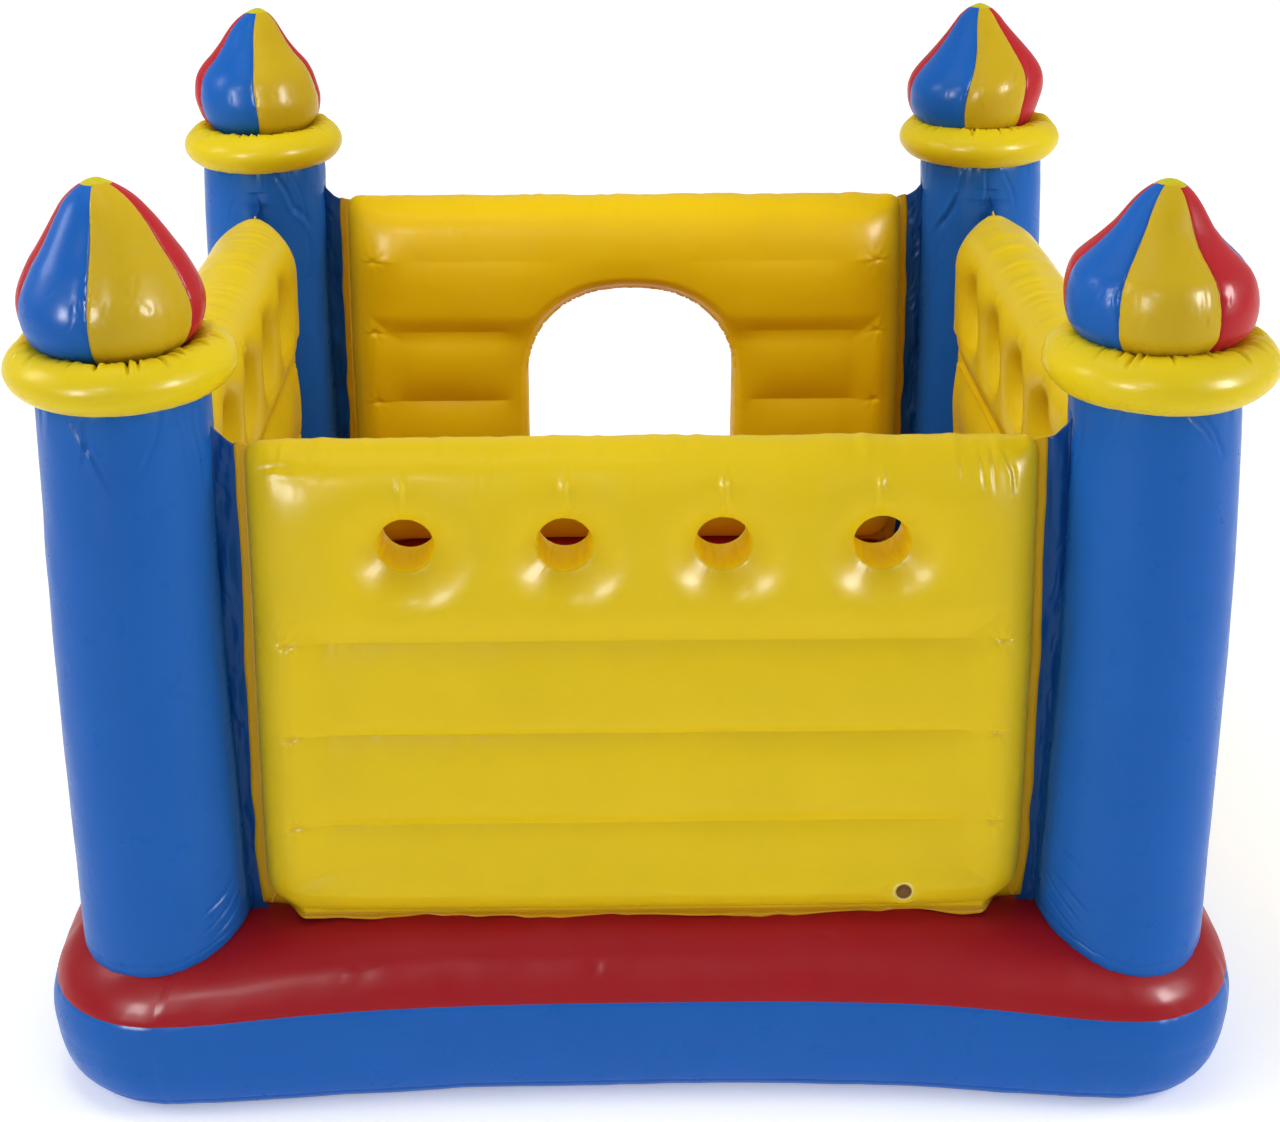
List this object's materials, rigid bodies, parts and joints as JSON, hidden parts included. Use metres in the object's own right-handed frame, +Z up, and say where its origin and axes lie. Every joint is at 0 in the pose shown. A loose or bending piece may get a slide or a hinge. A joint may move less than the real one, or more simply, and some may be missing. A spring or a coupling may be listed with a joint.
{
  "type": "inflatable bounce house",
  "caption": "Square castle-shaped inflatable bouncer: quilted walls with round ports and an arched doorway between corner towers with onion domes, on a ring base with a jump floor.",
  "frame": {"origin": "on the ground, at the centre of the base's outline", "axes": "+Z up, -Y towards the wall with the inflation valve, +Y towards the wall with the arched doorway"},
  "size_m": [1.75, 1.75, 1.35],
  "materials": {
    "yellow_vinyl": "glossy, welded film",
    "blue_vinyl": "glossy, welded film",
    "red_vinyl": "glossy, welded film",
    "ground_vinyl": "matt, textured underside film",
    "valve_vinyl": "soft translucent moulding"
  },
  "bodies": {
    "root": {"ground_sheet": "ground_vinyl", "base_skirt": "blue_vinyl", "base_top": "red_vinyl", "base_inner_curtain": "red_vinyl", "jump_floor": "red_vinyl", "floor_web_1": "red_vinyl", "floor_web_2": "red_vinyl", "floor_web_3": "red_vinyl", "floor_web_4": "red_vinyl", "tower_front_left": "blue_vinyl", "tower_front_right": "blue_vinyl", "tower_back_left": "blue_vinyl", "tower_back_right": "blue_vinyl", "collar_front_left": "yellow_vinyl", "collar_front_right": "yellow_vinyl", "collar_back_left": "yellow_vinyl", "collar_back_right": "yellow_vinyl", "dome_front_left": "yellow_vinyl", "dome_front_right": "yellow_vinyl", "dome_back_left": "yellow_vinyl", "dome_back_right": "yellow_vinyl", "front_wall_outer_skin": "yellow_vinyl", "front_wall_inner_skin": "yellow_vinyl", "front_wall_web_1": "yellow_vinyl", "front_wall_web_2": "yellow_vinyl", "front_wall_web_3": "yellow_vinyl", "left_wall_outer_skin": "yellow_vinyl", "left_wall_inner_skin": "yellow_vinyl", "left_wall_web_1": "yellow_vinyl", "left_wall_web_2": "yellow_vinyl", "left_wall_web_3": "yellow_vinyl", "right_wall_outer_skin": "yellow_vinyl", "right_wall_inner_skin": "yellow_vinyl", "right_wall_web_1": "yellow_vinyl", "right_wall_web_2": "yellow_vinyl", "right_wall_web_3": "yellow_vinyl", "back_wall_outer_skin": "yellow_vinyl", "back_wall_inner_skin": "yellow_vinyl", "back_wall_web_left_1": "yellow_vinyl", "back_wall_web_right_1": "yellow_vinyl", "back_wall_web_left_2": "yellow_vinyl", "back_wall_web_right_2": "yellow_vinyl", "back_wall_web_left_3": "yellow_vinyl", "back_wall_web_right_3": "yellow_vinyl", "back_wall_web_4": "yellow_vinyl", "back_wall_arch_liner": "yellow_vinyl"},
    "front_wall_valve_stem": {"front_wall_valve_stem": "valve_vinyl"},
    "front_wall_valve_plug": {"front_wall_valve_plug": "valve_vinyl"},
    "floor_valve_stem": {"floor_valve_stem": "valve_vinyl"},
    "floor_valve_plug": {"floor_valve_plug": "valve_vinyl"},
    "base_valve_stem": {"base_valve_stem": "valve_vinyl"},
    "base_valve_plug": {"base_valve_plug": "valve_vinyl"},
    "base_valve_check_flap": {"base_valve_check_flap": "valve_vinyl"}
  },
  "joints": [
    {"name": "front_wall_valve_pull", "type": "slide", "parent": "root", "child": "front_wall_valve_stem", "axis": [0, -1, 0], "range_m": [0, 0.012]},
    {"name": "front_wall_valve_plug_hinge", "type": "hinge", "parent": "front_wall_valve_stem", "child": "front_wall_valve_plug", "pos_m": [0.38, -0.77428, 0.3227], "axis": [-1, 0, 0], "range_deg": [0, 130]},
    {"name": "floor_valve_pull", "type": "slide", "parent": "root", "child": "floor_valve_stem", "axis": [0, 0, 1], "range_m": [0, 0.012]},
    {"name": "floor_valve_plug_hinge", "type": "hinge", "parent": "floor_valve_stem", "child": "floor_valve_plug", "pos_m": [-0.4417, 0.43, 0.1982], "axis": [0, -1, 0], "range_deg": [0, 130]},
    {"name": "base_valve_pull", "type": "slide", "parent": "root", "child": "base_valve_stem", "axis": [0, 1, 0], "range_m": [0, 0.014]},
    {"name": "base_valve_plug_hinge", "type": "hinge", "parent": "base_valve_stem", "child": "base_valve_plug", "pos_m": [-0.35, 0.8632, 0.1248], "axis": [1, 0, 0], "range_deg": [0, 130]},
    {"name": "base_valve_check_hinge", "type": "hinge", "parent": "base_valve_stem", "child": "base_valve_check_flap", "pos_m": [-0.35, 0.8476, 0.1129], "axis": [-1, 0, 0], "range_deg": [0, 46], "stiffness_Nm_per_rad": 0.002}
  ]
}
